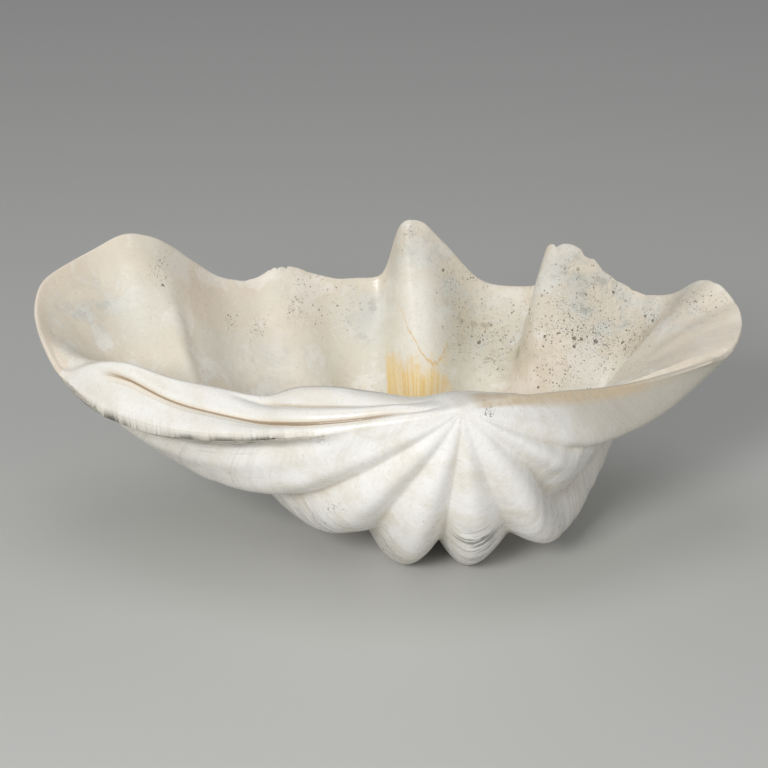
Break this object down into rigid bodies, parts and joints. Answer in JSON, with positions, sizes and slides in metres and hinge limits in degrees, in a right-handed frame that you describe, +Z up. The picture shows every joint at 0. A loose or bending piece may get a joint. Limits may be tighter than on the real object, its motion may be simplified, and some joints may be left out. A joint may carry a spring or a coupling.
{
  "type": "fossil clam valve",
  "caption": "One half of a thick giant clam shell: deep fluted bowl with wavy peaked rim, radiating ribs outside and a ridged hinge plate.",
  "frame": {"origin": "middle of the underside of the bounding box, on the surface the shell rests on", "axes": "+X along the shell's long axis, towards its narrower right end seen from the hinge; +Y from the hinge to the far rim; +Z up, out of the open bowl"},
  "size_m": [0.7088, 0.393, 0.2737],
  "materials": {
    "polished_shell": "polished chalky shell, cream white with grey clouds and an amber stain"
  },
  "bodies": {
    "root": {"clam_valve": "polished_shell"}
  },
  "joints": []
}
